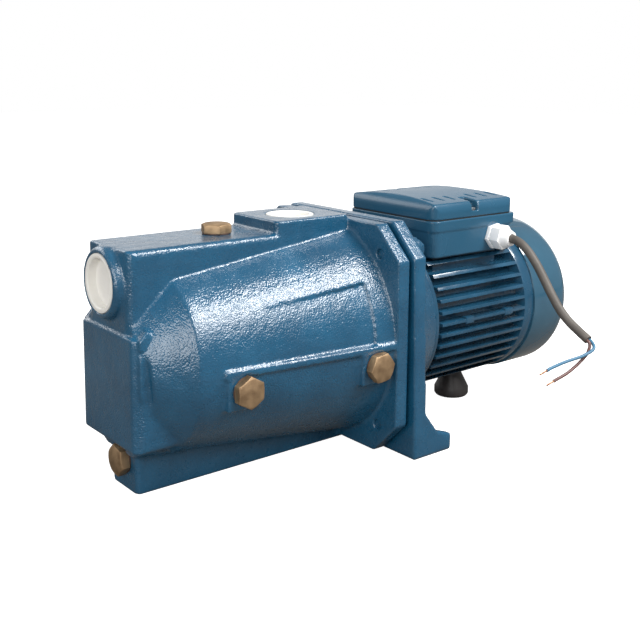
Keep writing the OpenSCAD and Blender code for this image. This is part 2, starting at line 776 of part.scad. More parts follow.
// One foot: a plate behind the flange with a sloping rib along its outer edge
module foot(side) {
    inner_y = foot_hole_spacing / 2 - 30;
    y0 = side > 0 ? inner_y : -foot_span / 2;
    y1 = side > 0 ? foot_span / 2 : -inner_y;
    rib_y0 = side > 0 ? foot_span / 2 - 7 : -foot_span / 2;
    box(bracket_face_x, bracket_face_x + foot_len, y0, y1, 0, foot_t);
    translate([0, rib_y0 + 7, 0]) rotate([90, 0, 0]) linear_extrude(7) polygon([
        [bracket_face_x, 0], [bracket_face_x + foot_len, 0], [bracket_face_x + foot_len, foot_t + 2],
        [bracket_back_x + 14, foot_t + 8], [bracket_back_x, foot_t + 26], [bracket_face_x, foot_t + 26]
    ]);
}

// Octagonal flange that runs down into the feet, with an arch between them
module bracket_flange() {
    half = flange_half + 1;
    foot_half = foot_span / 2;
    top = shaft_h + half;
    inner_y = foot_hole_spacing / 2 - 30;
    along_x(bracket_face_x, bracket_back_x) polygon([
        [-half + 28, top], [half - 28, top], [half, top - 28], [foot_half, 30], [foot_half, 0],
        [inner_y, 0], [inner_y - 6, 6], [-inner_y + 6, 6], [-inner_y, 0],
        [-foot_half, 0], [-foot_half, 30], [-half, top - 28]
    ]);
}

// Conical skirt to the motor, the wall that closes the motor and the bearing hub
module bracket_skirt() {
    skirt_r = fin_tip_r + 2.5;
    x_turned([
        [bracket_back_x - 1, barrel_r - 13], [bracket_back_x - 1, barrel_r - 4],
        [bracket_back_x + 2, barrel_r - 4], [skirt_end_x, skirt_r],
        [skirt_end_x, casing_r + 9], [motor_wall_x + motor_wall_t, casing_r + 9],
        [motor_wall_x + motor_wall_t, 0], [motor_wall_x, 0], [motor_wall_x, skirt_r - 6]
    ]);
    x_cyl(bearing_r + 6, front_bearing_x - 4, motor_wall_x + 1);
}

module bracket() {
    color("#2f5f85") difference() {
        union() {
            bracket_flange();
            for (side = [-1, 1]) foot(side);
            x_cyl(flange_half - 6, body_face_x, bracket_face_x + 1);
            x_cyl(spigot_bore_r - push_gap, back_plate_x, body_face_x + 1);
            bracket_skirt();
            flange_corners() rotate([0, 90, 0]) translate([0, 0, bracket_back_x - 1])
                cylinder(r = 11, h = bolt_boss_h + 1, $fn = 32);
        }
        // shaft passage, seal pocket and bearing seat
        x_cyl(mid_shaft_r + 2.5, back_plate_x + seal_seat_t - 1, skirt_end_x);
        x_cyl(pump_shaft_r + 2, back_plate_x - 1, back_plate_x + seal_seat_t);
        x_cyl(seal_r, back_plate_x - 1, back_plate_x + seal_seat_t);
        x_cyl(bearing_r, front_bearing_x, motor_wall_x + motor_wall_t + 1);
        // groove for the body O-ring
        x_ring(spigot_bore_r + 2, spigot_bore_r - 3, body_face_x - 5, body_face_x - 2);
        // bolts
        flange_corners() rotate([0, 90, 0]) translate([0, 0, bracket_face_x - 1])
            cylinder(r = flange_bolt_r + bolt_gap, h = 40, $fn = 32);
        tie_corners() rotate([0, 90, 0]) translate([0, 0, motor_wall_x - 1])
            cylinder(r = tie_r - 0.3, h = motor_wall_t + 2, $fn = 24);
        for (a = [60:120:300]) diffuser_screw_at(a)
            cylinder(r = diffuser_screw_r, h = back_plate_x - diffuser_x + 9, $fn = 24);
        foot_holes(foot_hole_r);
        // drain window under the shaft passage
        box(bracket_back_x + 5, motor_wall_x - 4, -16, 16, 0, shaft_h - bearing_r - 20);
    }
}

module body_o_ring() {
    color("#202020") x_o_ring(body_face_x - 3.5, spigot_bore_r - 1.55, 1.45);
}

// Flange bolts: heads against the bracket, threads in the body flange
module flange_bolts() {
    head_x = bracket_back_x + bolt_boss_h + 1.6;
    color("#2f5f85") flange_corners() rotate([0, 90, 0]) {
        translate([0, 0, head_x]) chamfered_head(13, 5.3);
        translate([0, 0, body_flange_x + 2.5])
            cylinder(r = flange_bolt_r - run_gap, h = head_x - body_flange_x - 2.5 + eps, $fn = 32);
    }
}

module flange_bolt_washers() {
    color("#2f5f85") flange_corners() rotate([0, 90, 0]) translate([0, 0, bracket_back_x + bolt_boss_h])
        difference() {
            cylinder(r = 8, h = 1.6, $fn = 32);
            translate([0, 0, -1]) cylinder(r = flange_bolt_r + 0.2, h = 4, $fn = 32);
        }
}

// ---------- rotating assembly ----------

module shaft() {
    color("#8f9296") difference() {
        x_turned([
            [impeller_x - 4, 0], [impeller_x - 4, pump_shaft_r - 1.5], [impeller_x - 3, pump_shaft_r - 1],
            [impeller_x + 4, pump_shaft_r - 1], [impeller_x + 4, pump_shaft_r],
            [back_plate_x + seal_seat_t + 4, pump_shaft_r], [back_plate_x + seal_seat_t + 4, journal_r],
            [front_bearing_x + bearing_w, journal_r], [front_bearing_x + bearing_w, mid_shaft_r],
            [rear_bearing_x, mid_shaft_r], [rear_bearing_x, journal_r],
            [rear_bearing_x + bearing_w + 8, journal_r], [rear_bearing_x + bearing_w + 8, pump_shaft_r],
            [fan_x + fan_len - 1, pump_shaft_r], [fan_x + fan_len, pump_shaft_r - 1], [fan_x + fan_len, 0]
        ]);
        box(impeller_x + 4.5, impeller_back_x - 0.5, -2 - push_gap, 2 + push_gap,
            shaft_h + pump_shaft_r - 2, shaft_h + 20);
        x_ring(pump_shaft_r + 1, pump_shaft_r - 0.8, fan_x + 18.5, fan_x + 20);
    }
}
module rotor_core() {
    color("#7d7f82") difference() {
        x_cyl(rotor_r, core_x, core_x + core_len);
        x_cyl(mid_shaft_r, core_x - 1, core_x + core_len + 1);
    }
    color("#b0b4b8") for (x = [core_x - 5, core_x + core_len]) x_ring(rotor_r - 4, rotor_r - 12, x, x + 5);
}

// Deep-groove bearing parts, made at a given station
pitch_r = (journal_r + bearing_r) / 2;
ball_r = 3;
race_gap = 0.06;

module race(x) {
    translate([x + bearing_w / 2, 0, shaft_h]) rotate([0, 90, 0]) rotate_extrude()
        translate([pitch_r, 0]) circle(r = ball_r + race_gap, $fn = 32);
}

module bearing_outer_rings() {
    color("#c5c9cc") for (x = [front_bearing_x, rear_bearing_x]) difference() {
        x_ring(bearing_r, pitch_r + 2, x, x + bearing_w);
        race(x);
    }
}

module bearing_inner_rings() {
    color("#c5c9cc") for (x = [front_bearing_x, rear_bearing_x]) difference() {
        x_ring(pitch_r - 2, journal_r, x, x + bearing_w);
        race(x);
    }
}

module bearing_balls() {
    color("#d8dbde") for (x = [front_bearing_x, rear_bearing_x], a = [0:45:315])
        translate([x + bearing_w / 2, pitch_r * cos(a), shaft_h + pitch_r * sin(a)])
            sphere(r = ball_r, $fn = 32);
}

module wave_spring() {
    color("#b9bcc0") x_ring(bearing_r - 0.5, bearing_r - 4, rear_bearing_x + bearing_w,
        rear_bearing_x + bearing_w + 1);
}

// Rubber flinger on the shaft between the seal and the bearing
module slinger() {
    x0 = front_bearing_x - 12;
    color("#262626") x_turned([
        [x0, journal_r], [x0, mid_shaft_r + 8], [x0 + 1.5, mid_shaft_r + 8],
        [x0 + 3, journal_r + 3], [x0 + 7, journal_r + 3], [x0 + 7, journal_r]
    ]);
}

// ---------- motor ----------

// Cooling fins: flat plates along the shaft, trimmed to a round outline
module casing_fins() {
    fin_count = floor((fin_tip_r - 8) / fin_pitch);
    fin_x = skirt_end_x + 10;
    intersection() {
        x_cyl(fin_tip_r, fin_x, casing_end_x);
        for (k = [-fin_count:fin_count])
            box(fin_x, casing_end_x, -fin_tip_r, fin_tip_r,
                shaft_h + k * fin_pitch - fin_t / 2, shaft_h + k * fin_pitch + fin_t / 2);
    }
}

// Ejector pads on the edge of the middle fin
module fin_pads() {
    for (side = [-1, 1], x = [skirt_end_x + 45, skirt_end_x + 98])
        box(x - 5, x + 5, side > 0 ? fin_tip_r - 6 : -fin_tip_r - 0.2,
            side > 0 ? fin_tip_r + 0.2 : -fin_tip_r + 6, shaft_h - 3, shaft_h + 3);
}

module motor_casing() {
    seat_half_w = box_half_w - box_wall - 9;
    seat_x0 = box_x + 12;
    seat_x1 = box_x + box_len - 12;
    color("#1f3f5a") difference() {
        union() {
            x_cyl(casing_r + casing_wall, skirt_end_x, casing_end_x);
            x_cyl(fin_tip_r + 0.5, skirt_end_x, skirt_end_x + 5);
            x_cyl(casing_r + 9 - push_gap, motor_wall_x + motor_wall_t, skirt_end_x + 1);
            difference() {
                casing_fins();
                box(box_x - 3, box_x + box_len + 3, -box_half_w - 2, box_half_w + 2, box_z - 2.5, 300);
            }
            fin_pads();
            box(seat_x0, seat_x1, -seat_half_w, seat_half_w, shaft_h + 30, seat_z);
            translate([rubber_foot_x, 0, rubber_foot_h]) cylinder(r = 10, h = 20);
        }
        x_cyl(casing_r, motor_wall_x, casing_end_x + 1);
        translate([box_mid_x, 0, shaft_h + 20]) cylinder(r = 9, h = 80);
        box_screw_places() cylinder(r = 1.7, h = 60, center = true, $fn = 24);
        translate([rubber_foot_x, 0, 0]) cylinder(r = 3 - 0.5, h = rubber_foot_h + 9, $fn = 24);
    }
}

module stator_core() {
    color("#6e7073") difference() {
        x_cyl(casing_r, core_x, core_x + core_len);
        x_cyl(stator_bore_r, core_x - 1, core_x + core_len + 1);
        tie_corners() rotate([0, 90, 0]) translate([0, 0, core_x - 1])
            cylinder(r = tie_r + 0.8, h = core_len + 2, $fn = 24);
        for (a = [7.5:15:352.5]) translate([0, 0, shaft_h]) rotate([a, 0, 0])
            box(core_x - 1, core_x + core_len + 1, stator_bore_r - 1, stator_bore_r + 1, -1, 1);
    }
}

// Wound end turns on both sides of the core, clear of the tie rods
module stator_windings() {
    winding_r = tie_offset * sqrt(2) - tie_r - 1.5;
    for (x = [core_x - winding_len, core_x + core_len])
        color("#a4532a") x_turned([
            [x, stator_bore_r + 5], [x, winding_r - 2], [x + 2, winding_r],
            [x + winding_len - 2, winding_r], [x + winding_len, winding_r - 2],
            [x + winding_len, stator_bore_r + 4], [x + 2, stator_bore_r + 3]
        ]);
}

module rear_end_shield() {
    shoulder_x = rear_bearing_x + bearing_w + 1;
    color("#24496a") difference() {
        union() {
            x_cyl(fin_tip_r, casing_end_x, cover_x);
            x_cyl(casing_r - push_gap, casing_end_x - 4, casing_end_x + 1);
            x_cyl(bearing_r + 5, rear_bearing_x - 2, shoulder_x + 3);
            x_ring(lip_r, lip_r - 5, cover_x - 1, cover_x + shield_lip);
        }
        // hollow towards the windings, leaving the bearing hub
        x_ring(casing_r - 5, bearing_r + 5, casing_end_x - 5, casing_end_x + 6);
        x_cyl(bearing_r, rear_bearing_x - 3, shoulder_x);
        x_cyl(journal_r + 1, shoulder_x - 1, cover_x + 20);
        tie_corners() rotate([0, 90, 0]) translate([0, 0, casing_end_x - 6])
            cylinder(r = tie_r + 0.4, h = 40, $fn = 24);
        fan_screw_places() cylinder(r = 1.65, h = 14, center = true, $fn = 24);
    }
}

module tie_rods() {
    color("#9aa0a6") tie_corners() rotate([0, 90, 0]) {
        translate([0, 0, motor_wall_x + 1])
            cylinder(r = tie_r - 0.3 - run_gap, h = cover_x - motor_wall_x - 1, $fn = 24);
        translate([0, 0, motor_wall_x + motor_wall_t + 0.5])
            cylinder(r = tie_r, h = cover_x - motor_wall_x - motor_wall_t - 0.5 + eps, $fn = 24);
        translate([0, 0, cover_x]) chamfered_head(8, 4);
    }
}

module fan() {
    color("#2e3033") difference() {
        union() {
            x_cyl(12, fan_x, fan_x + 18);
            x_cyl(fan_r - 18, fan_x + 6, fan_x + 8);
            for (a = [0:40:320]) translate([0, 0, shaft_h]) rotate([a, 0, 0])
                box(fan_x, fan_x + 16, 10, fan_r, -1, 1);
        }
        x_cyl(pump_shaft_r, fan_x - 1, fan_x + 20);
    }
}

module fan_clip() {
    color("#8c8f92") difference() {
        x_ring(pump_shaft_r + 2.5, pump_shaft_r - 0.8, fan_x + 18.6, fan_x + 19.8);
        translate([0, 0, shaft_h]) box(fan_x + 18, fan_x + 21, -2.5, 2.5, 0, 20);
    }
}

// Rounded rear edge of the fan cover, measured outside
cover_round_r = 19;
function cover_round(inset) = [for (a = [90:-10:0])
    [cover_end_x - cover_round_r + (cover_round_r - inset) * cos(a),
     fan_cover_r - cover_round_r + (cover_round_r - inset) * sin(a)]];

module fan_cover() {
    inner = cover_round(fan_cover_t);
    color("#2b5478") difference() {
        x_turned(concat(
            [[cover_x, shield_r]], [[cover_x, fan_cover_r]], cover_round(0),
            [[cover_end_x, 0]], [[cover_end_x - fan_cover_t, 0]],
            [for (i = [len(inner) - 1:-1:0]) inner[i]]
        ));
        // concentric air slots, broken by radial bars
        difference() {
            for (r = [14:7:49]) x_ring(r + 3.5, r, cover_end_x - 5, cover_end_x + 1);
            for (a = [0:60:120]) translate([0, 0, shaft_h]) rotate([a, 0, 0])
                box(cover_end_x - 6, cover_end_x + 2, -60, 60, -3, 3);
        }
        fan_screw_places() cylinder(r = 2 + 0.3, h = 14, center = true, $fn = 24);
    }
}

module fan_screw_places() {
    for (a = [20, 180, 340])
        translate([cover_x + 6, 0, shaft_h]) rotate([a, 0, 0]) translate([0, 0, shield_r])
            children();
}

module fan_cover_screws() {
    color("#9aa0a6") fan_screw_places() {
        translate([0, 0, fan_cover_t]) cylinder(r = 3.5, h = 2, $fn = 32);
        translate([0, 0, -5]) cylinder(r = 1.6, h = 5 + fan_cover_t + eps, $fn = 24);
    }
}

// ---------- terminal box ----------

module box_screw_places() {
    for (sx = [-1, 1], sy = [-1, 1])
        translate([box_mid_x + sx * 36, sy * 34, seat_z]) children();
}

module terminal_box() {
    inner_w = box_len - 2 * box_wall;
    inner_h = 2 * (box_half_w - box_wall);
    color("#2f5f85") difference() {
        union() {
            rounded_block(box_mid_x, box_len, 2 * box_half_w, box_corner_r, box_z, box_top_z);
            rounded_block(box_mid_x + (box_lip - box_rim) / 2, box_len + box_lip + box_rim,
                2 * (box_half_w + box_rim), box_corner_r, box_top_z - box_rim_h, box_top_z);
        }
        difference() {
            rounded_block(box_mid_x, inner_w, inner_h, box_corner_r - box_wall,
                seat_z + box_floor_t, box_top_z + 1);
            for (side = [-1, 1]) translate([box_mid_x, side * cover_screw_y, seat_z])
                cylinder(r = 5, h = box_base_h);
        }
        // skirt over the casing seat
        rounded_block(box_mid_x, inner_w, inner_h, box_corner_r - box_wall, box_z - 1, seat_z);
        x_cyl(casing_r + casing_wall + free_gap, box_x - 5, box_x + box_len + 10);
        x_cyl(fin_tip_r + free_gap, casing_end_x - free_gap, cover_x + 5);
        for (side = [-1, 1]) translate([box_mid_x, side * cover_screw_y, box_top_z - 16])
            cylinder(r = cover_screw_r, h = 20, $fn = 24);
        translate([box_mid_x, 0, seat_z - 1]) cylinder(r = 9, h = 10);
        box_screw_places() cylinder(r = 2.4, h = 20, center = true, $fn = 24);
        // gland hole and the flat round it
        translate([gland_x, -box_half_w - 10, gland_z]) rotate([-90, 0, 0]) {
            cylinder(r = gland_stub_r + push_gap, h = 20);
            cylinder(r = gland_flats / sqrt(3) + 1, h = 10);
        }
    }
}

module terminal_gasket() {
    color("#2a2a2a") difference() {
        rounded_block(box_mid_x, box_len - 1, 2 * box_half_w - 1, box_corner_r, box_top_z, cover_z);
        difference() {
            rounded_block(box_mid_x, box_len - 2 * box_wall, 2 * (box_half_w - box_wall),
                box_corner_r - box_wall, box_top_z - 1, cover_z + 1);
            for (side = [-1, 1]) translate([box_mid_x, side * cover_screw_y, box_top_z - 2])
                cylinder(r = 5, h = 6);
        }
        for (side = [-1, 1]) translate([box_mid_x, side * cover_screw_y, box_top_z - 1])
            cylinder(r = 2.4, h = 4, $fn = 24);
    }
}

// Block whose upright corners and upper edges are both rounded
module soft_top_block(len, half_w, corner, z0, z1, top_r) {
    intersection() {
        rounded_block(box_mid_x, len, 2 * half_w, corner, z0, z1);
        translate([box_mid_x - len / 2, 0, z1 - 50]) rotate([90, 0, 90]) linear_extrude(len)
            translate([0, 25 - 10]) rounded_rect(2 * half_w, 70, top_r);
        translate([box_mid_x, half_w, z1 - 35]) rotate([90, 0, 0]) linear_extrude(2 * half_w)
            rounded_rect(len, 70, top_r);
        x_cyl(lid_arch_r, box_mid_x - len / 2 - 1, box_mid_x + len / 2 + 1, 0, z1 - lid_arch_r);
    }
}

module terminal_cover() {
    cover_top_z = cover_z + box_cover_h;
    seat_h = 5;
    groove_w = 8.4;
    groove_len = 19;
    slot_pitch = 14;
    slot_w = 2.4;
    color("#35607a") difference() {
        union() {
            difference() {
                soft_top_block(box_len, box_half_w, box_corner_r, cover_z, cover_top_z, crown_r);
                soft_top_block(box_len - 2 * box_wall, box_half_w - box_wall, box_corner_r - box_wall,
                    cover_z - 1, cover_top_z - box_wall, crown_r - box_wall);
            }
            intersection() {
                soft_top_block(box_len, box_half_w, box_corner_r, cover_z, cover_top_z, crown_r);
                for (side = [-1, 1])
                    box(box_mid_x - groove_w / 2 - box_wall, box_mid_x + groove_w / 2 + box_wall,
                    side > 0 ? box_half_w - groove_len - box_wall : -box_half_w,
                    side > 0 ? box_half_w : -box_half_w + groove_len + box_wall, cover_z, cover_top_z);
            }
        }
        // screw grooves, open to the sides and upwards, with seats for the screw heads
        for (side = [-1, 1]) {
            translate([box_mid_x, side * cover_screw_y, cover_z + seat_h])
                cylinder(r = groove_w / 2, h = box_cover_h, $fn = 32);
            box(box_mid_x - groove_w / 2, box_mid_x + groove_w / 2,
                side > 0 ? cover_screw_y : -box_half_w - 1, side > 0 ? box_half_w + 1 : -cover_screw_y,
                cover_z + seat_h, cover_top_z + 1);
            box(box_mid_x - groove_w / 2, box_mid_x + groove_w / 2,
                side > 0 ? box_half_w - groove_len : -box_half_w - 1,
                side > 0 ? box_half_w + 1 : -box_half_w + groove_len, cover_top_z - 8, cover_top_z + 1);
            translate([box_mid_x, side * cover_screw_y, cover_z - 1]) cylinder(r = 2.4, h = 20, $fn = 24);
        }
        // rows of short slots across the upper edges
        for (side = [-1, 1], i = [-3, -2, -1, 1, 2, 3])
            box(box_mid_x + slot_pitch * i - slot_w / 2, box_mid_x + slot_pitch * i + slot_w / 2,
                side > 0 ? box_half_w - 28 : -box_half_w + 12, side > 0 ? box_half_w - 12 : -box_half_w + 28,
                cover_top_z - 3, cover_top_z + 1);
    }
}

module cover_screws() {
    seat_z1 = cover_z + 5;
    color("#c9ccd0") for (side = [-1, 1]) translate([box_mid_x, side * cover_screw_y, 0]) {
        difference() {
            translate([0, 0, seat_z1]) cylinder(r = 3.6, h = 2.6, $fn = 32);
            translate([-4, -0.5, seat_z1 + 1.6]) cube([8, 1, 2]);
            translate([-0.5, -4, seat_z1 + 1.6]) cube([1, 8, 2]);
        }
        translate([0, 0, box_top_z - 12])
            cylinder(r = cover_screw_r - run_gap, h = seat_z1 - box_top_z + 12 + eps, $fn = 24);
    }
}

module terminal_block() {
    z0 = seat_z + box_floor_t;
    x0 = box_mid_x - 32;
    color("#d9d4c4") difference() {
        union() {
            box(x0, x0 + 22, -32, 32, z0, z0 + 9);
            for (i = [0:5]) box(x0 + 3, x0 + 19, -30 + 10.4 * i, -22 + 10.4 * i, z0 + 8, z0 + 14);
        }
        for (i = [0:5]) translate([x0 + 11, -26 + 10.4 * i, z0 + 3]) cylinder(r = 2, h = 20, $fn = 24);
    }
    color("#b49a5a") for (i = [0:5]) translate([x0 + 11, -26 + 10.4 * i, z0 + 3 + eps])
        cylinder(r = 2 - run_gap, h = 10, $fn = 24);
}

module capacitor() {
    cap_r = 15;
    z0 = seat_z + box_floor_t + cap_r;
    color("#dcdcd6") translate([box_mid_x + 20, -34, z0]) rotate([-90, 0, 0]) cylinder(r = cap_r, h = 68);
    color("#303030") translate([box_mid_x + 20, 34, z0]) rotate([-90, 0, 0]) cylinder(r = cap_r - 3, h = 3);
}

module terminal_box_screws() {
    color("#9aa0a6") box_screw_places() {
        translate([0, 0, box_floor_t]) cylinder(r = 4, h = 2.6, $fn = 32);
        translate([0, 0, -8]) cylinder(r = 1.7 - run_gap, h = 8 + box_floor_t + eps, $fn = 24);
    }
}

// ---------- cable gland ----------

module at_gland() {
    translate([gland_x, -box_half_w, gland_z]) rotate([90, 0, 0]) rotate([0, 0, 10]) children();
}

module gland_body() {
    color("#d8d5d2") at_gland() difference() {
        union() {
            chamfered_head(gland_flats, 4.5);
            translate([0, 0, -8]) cylinder(r = gland_stub_r, h = 9);
            cylinder(r = gland_flats / 2 - 2.5, h = 12);
        }
        translate([0, 0, -9]) cylinder(r = cable_d / 2 + 1, h = 16);
        translate([0, 0, 6]) cylinder(r = gland_seal_r + push_gap, h = 9);
    }
}

// Rubber sleeve the cable leaves from
module gland_seal() {
    color("#303030") at_gland() translate([0, 0, 6]) cylinder(r = gland_seal_r, h = 10);
}

// Cap nut: a hexagon with a dome that ends in the cable mouth
module gland_nut() {
    nut_r = gland_flats / 2;
    color("#e2dfdc") at_gland() difference() {
        union() {
            translate([0, 0, 4.5]) hexagon_bar(gland_flats - 0.8, 10.3);
            translate([0, 0, 14.5]) cylinder(r1 = nut_r - 0.8, r2 = nut_r - 4, h = 8);
        }
        translate([0, 0, 4]) cylinder(r = nut_r - 2.5 + push_gap, h = 8.3);
        translate([0, 0, 12]) cylinder(r = gland_seal_r + push_gap, h = 4.2);
        translate([0, 0, 15]) cylinder(r = cable_d / 2 + 0.35, h = 12);
    }
}

// ---------- rear support ----------

rubber_foot_x = skirt_end_x + 100;
rubber_foot_h = shaft_h - casing_r - casing_wall - 12;

module rubber_foot() {
    color("#2a2626") translate([rubber_foot_x, 0, 0]) difference() {
        rotate_extrude() polygon([
            [0, 0], [15.5, 0], [17, 2], [17, 8],
            [9.5, rubber_foot_h - 3], [9.5, rubber_foot_h], [0, rubber_foot_h]
        ]);
        translate([0, 0, -1]) cylinder(r = 5.5, h = 7);
        translate([0, 0, -1]) cylinder(r = 3.1, h = 60, $fn = 24);
    }
}

module foot_screw() {
    color("#8d9094") translate([rubber_foot_x, 0, 3]) {
        cylinder(r = 5, h = 3, $fn = 32);
        cylinder(r = 3 - 0.5 - run_gap, h = rubber_foot_h + 4, $fn = 24);
    }
}

// ---------- cable ----------

module power_cable() { color("#4a4642") swept_tube(jacket_route, cable_d / 2, 12, [1, 0, 0]); }
module core_blue() { color("#4a7590") swept_tube(blue_route, core_d / 2, 8, [0, 0, 1]); }
module core_brown() { color("#6a4a4a") swept_tube(brown_route, core_d / 2, 8, [0, 0, 1]); }

// Bared copper strands past the end of each core
module copper_end(route) {
    n = len(route) - 1;
    d = route_dir(route, n);
    swept_tube([for (t = [0, 3, 6, 9]) route[n] + t * d], core_d / 2 - 0.5, 8, [0, 0, 1]);
}

module core_ends() {
    color("#b87a50") copper_end(blue_route);
    color("#b87a50") copper_end(brown_route);
}

pump_body();
suction_cap();
delivery_cap();
filling_plug();
filling_plug_washer();
drain_plug();
drain_plug_washer();
front_side_plug();
front_side_washer();
rear_side_plug();
rear_side_washer();
nozzle();
nozzle_o_ring();
venturi();
venturi_o_ring();
diffuser();
diffuser_screws();
impeller();
impeller_key();
impeller_nut();
seal_rotary_ring();
seal_spring();
seal_seat();
seal_seat_cup();
bracket();
body_o_ring();
flange_bolts();
flange_bolt_washers();
shaft();
rotor_core();
bearing_outer_rings();
bearing_inner_rings();
bearing_balls();
wave_spring();
slinger();
motor_casing();
stator_core();
stator_windings();
rear_end_shield();
tie_rods();
fan();
fan_clip();
fan_cover();
fan_cover_screws();
terminal_box();
terminal_gasket();
terminal_cover();
cover_screws();
terminal_block();
capacitor();
terminal_box_screws();
gland_body();
gland_seal();
gland_nut();
rubber_foot();
foot_screw();
power_cable();
core_blue();
core_brown();
core_ends();
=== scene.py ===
import math
import bmesh
import bpy
from mathutils import Matrix, Vector


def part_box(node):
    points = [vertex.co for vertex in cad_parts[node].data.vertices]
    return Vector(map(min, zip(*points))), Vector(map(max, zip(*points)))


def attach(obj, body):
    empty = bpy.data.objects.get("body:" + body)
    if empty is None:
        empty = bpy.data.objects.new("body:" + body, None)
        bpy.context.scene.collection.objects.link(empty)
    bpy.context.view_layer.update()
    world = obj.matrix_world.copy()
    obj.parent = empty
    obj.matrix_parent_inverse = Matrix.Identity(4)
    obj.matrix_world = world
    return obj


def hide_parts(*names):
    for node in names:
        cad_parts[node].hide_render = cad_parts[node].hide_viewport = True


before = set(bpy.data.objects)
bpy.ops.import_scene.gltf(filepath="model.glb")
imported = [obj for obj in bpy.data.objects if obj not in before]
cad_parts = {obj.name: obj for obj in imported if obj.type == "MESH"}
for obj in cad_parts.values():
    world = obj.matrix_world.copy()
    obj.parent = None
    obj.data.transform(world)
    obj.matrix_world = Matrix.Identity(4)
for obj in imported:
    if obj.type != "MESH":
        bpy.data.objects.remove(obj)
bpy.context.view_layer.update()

scene = bpy.context.scene


# The camera stands off the suction end, a little above the shaft line, and looks along the pump
# towards the motor. Its small shift keeps the pump in the upper part of the frame.
camera_place = Vector((-0.5625, -0.6538, 0.3215))
camera_aim = Vector((0.6320, 0.7605, -0.1490))
camera_roll = math.radians(0.69)
camera_data = bpy.data.cameras.new("studio_camera")
camera_data.lens = 54.6
camera_data.sensor_width = 36
camera_data.shift_x = -0.033
camera_data.shift_y = -0.162
camera_data.clip_start = 0.01
camera = bpy.data.objects.new("studio_camera", camera_data)
camera.matrix_world = (Matrix.Translation(camera_place)
                       @ camera_aim.to_track_quat("-Z", "Y").to_matrix().to_4x4()
                       @ Matrix.Rotation(camera_roll, 4, "Z"))
scene.collection.objects.link(camera)
scene.camera = camera
scene.view_settings.view_transform = "Standard"


# The mains cable: a round black-brown PVC jacket that leaves the gland level, bends down under its
# own weight beside the motor and ends stripped, with the two insulated cores coming out of it.
def linear(code):
    """An sRGB hex colour as the linear values that a socket takes."""
    parts = [int(code[i:i + 2], 16) / 255 for i in (1, 3, 5)]
    return [p / 12.92 if p <= 0.04045 else ((p + 0.055) / 1.055) ** 2.4 for p in parts] + [1.0]


def put(tree, kind, plugs=None, **settings):
    """Adds one node; each plug is a value for its input, or an output that is linked to it."""
    made = tree.nodes.new(kind)
    for key, value in settings.items():
        setattr(made, key, value)
    for key, value in (plugs or {}).items():
        if isinstance(value, bpy.types.NodeSocket):
            tree.links.new(value, made.inputs[key])
        else:
            made.inputs[key].default_value = value
    return made


def start_finish(name):
    finish = bpy.data.materials.new(name)
    finish.use_nodes = True
    finish.node_tree.nodes.clear()
    place = put(finish.node_tree, "ShaderNodeTexCoord").outputs["Object"]
    return finish, finish.node_tree, place


def close_finish(tree, sockets):
    skin = put(tree, "ShaderNodeBsdfPrincipled", sockets)
    put(tree, "ShaderNodeOutputMaterial", {"Surface": skin.outputs["BSDF"]})


def moulded(name, pale, deep, roughness, grain, depth, patch=0.03, subsurface=0.0):
    """Rubber, plastic, fibre and other moulded stock, which drifts a little in colour and in shine.
    grain is the width of one grain of the mould's skin, depth its height, and patch the width of one
    patch of colour, in metres. A real mould's grain is finer, and is drawn as coarse as it shows."""
    finish, tree, place = start_finish(name)
    cloud = put(tree, "ShaderNodeTexNoise", {"Vector": place, "Scale": 1 / patch, "Detail": 4.0})
    # inputs by number, because a Mix node holds inputs of the same name for every data type
    tint = put(tree, "ShaderNodeMix", {0: cloud.outputs["Fac"], 6: linear(deep), 7: linear(pale)},
               data_type="RGBA")
    shine = put(tree, "ShaderNodeMapRange", {"Value": cloud.outputs["Fac"],
                                             "To Min": roughness - 0.06, "To Max": roughness + 0.08})
    speck = put(tree, "ShaderNodeTexNoise", {"Vector": place, "Scale": 1 / grain, "Detail": 3.0})
    relief = put(tree, "ShaderNodeBump", {"Height": speck.outputs["Fac"], "Distance": depth})
    close_finish(tree, {"Base Color": tint.outputs[2], "Roughness": shine.outputs["Result"],
                        "Normal": relief.outputs["Normal"], "Subsurface Weight": subsurface,
                        "Subsurface Radius": (0.003, 0.003, 0.0025), "Subsurface Scale": 1.0})
    return finish


def draw_cord(name, points, radius, finish):
    """One open round cord through points given in millimetres."""
    line = bpy.data.curves.new(name, "CURVE")
    line.dimensions = "3D"
    line.bevel_depth = radius
    line.bevel_resolution = 6
    line.resolution_u = 6
    line.use_fill_caps = True
    spline = line.splines.new("BEZIER")
    spline.bezier_points.add(len(points) - 1)
    for knot, point in zip(spline.bezier_points, points):
        knot.co = Vector(point) / 1000
        knot.handle_left_type = knot.handle_right_type = "AUTO"
    line.materials.append(finish)
    cord = bpy.data.objects.new(name, line)
    scene.collection.objects.link(cord)
    return cord


jacket_radius = 0.004
jacket_points = [
    (118, -73.5, 170.5), (118, -77, 170.5), (118, -81, 170.5), (118, -86, 169.5), (118, -92, 167),
    (118, -98, 163), (118, -104, 157.5), (118, -110, 151), (118, -115.5, 144),
    (118, -120.5, 137), (118, -125.5, 130), (118, -131, 123), (118, -137, 116),
    (118, -143.5, 110), (118, -150.5, 105), (118, -157.5, 101), (118, -164, 97.5), (118, -168.5, 95)]
# soft PVC: a dull, dusty brown-grey sheath, worn a little paler in short patches
cable_jacket = moulded("pvc_cable_jacket", "#6a645d", "#4a4540", roughness=0.55, grain=0.0016,
                       depth=0.00004, patch=0.012)
jacket = draw_cord("mains_cable_jacket", jacket_points, jacket_radius, cable_jacket)
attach(jacket, "pump")
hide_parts("power_cable")


